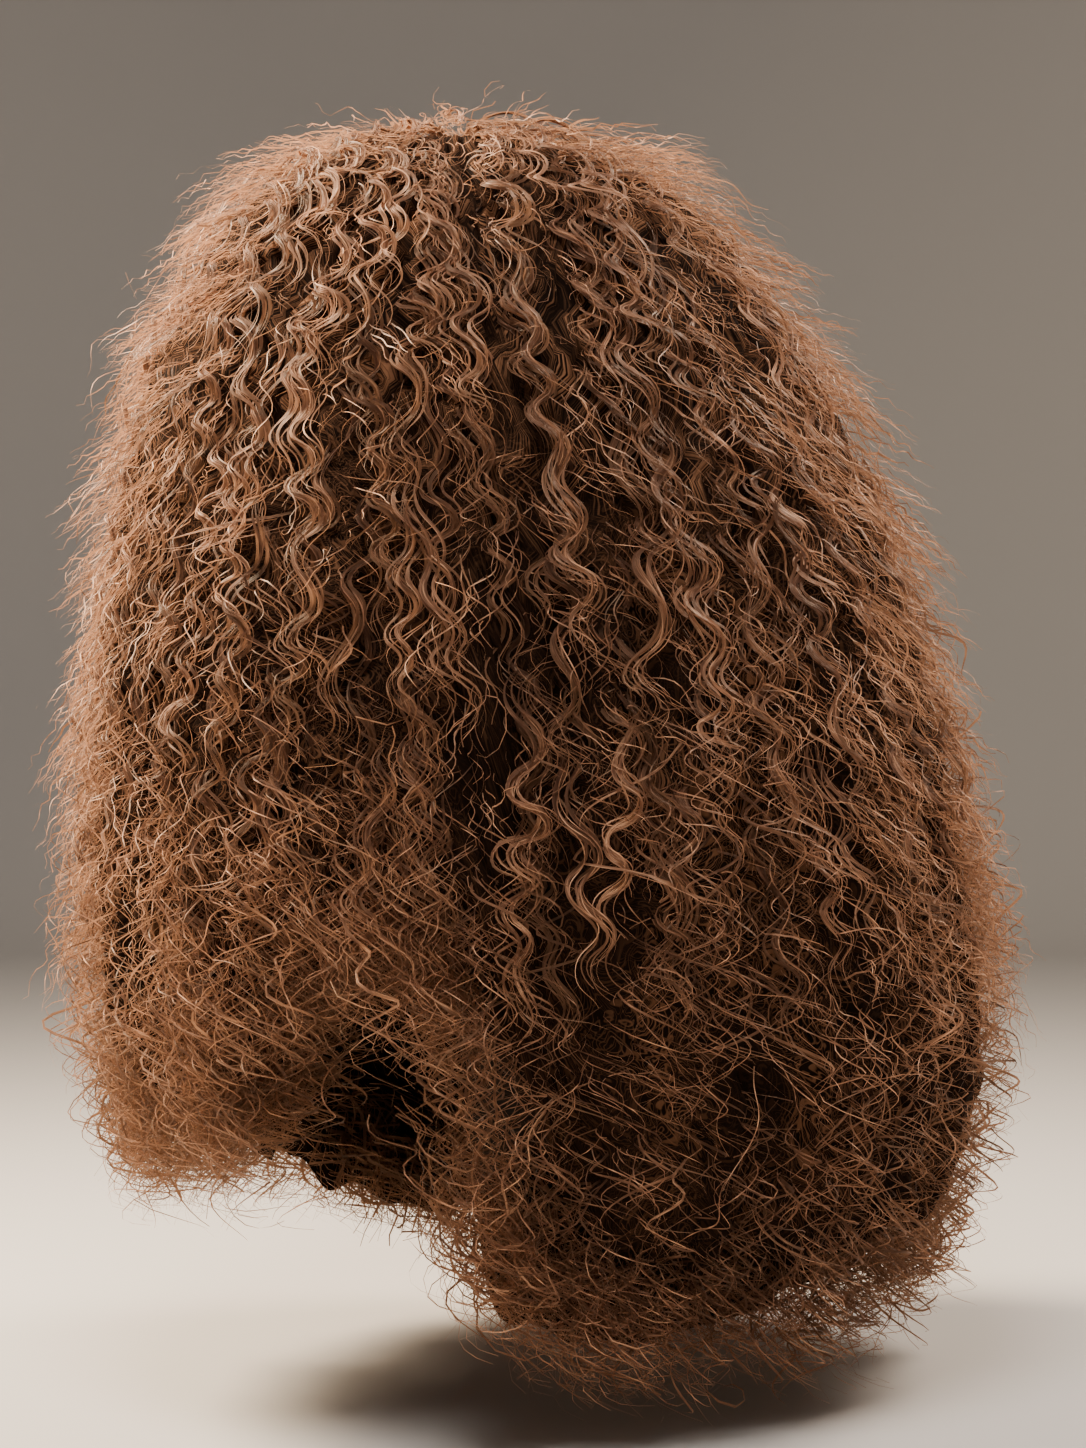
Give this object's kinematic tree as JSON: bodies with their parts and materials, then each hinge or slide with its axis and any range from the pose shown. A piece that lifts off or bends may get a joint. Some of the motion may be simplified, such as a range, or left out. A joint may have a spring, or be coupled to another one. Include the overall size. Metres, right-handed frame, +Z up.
{
  "type": "curly wig",
  "caption": "Very full brown wig of tight wavy curls on a thin open head cap, parted at the chin, with long side and back hair that rounds in at the ends.",
  "frame": {"origin": "the cap's inner crown, where the top of the head meets it", "axes": "+Z up, -Y the way the face looks, +X the wearer's left"},
  "size_m": [0.2995, 0.3382, 0.4205],
  "materials": {
    "hair": "brown curly fibre with a soft sheen, lighter at the ends",
    "cap_cloth": "matt dark brown stretch cloth"
  },
  "bodies": {
    "root": {"cap": "cap_cloth", "crown_hair": "hair", "fringe_hair": "hair", "left_front_hair": "hair", "left_back_hair": "hair", "right_back_hair": "hair", "right_front_hair": "hair"}
  },
  "joints": []
}
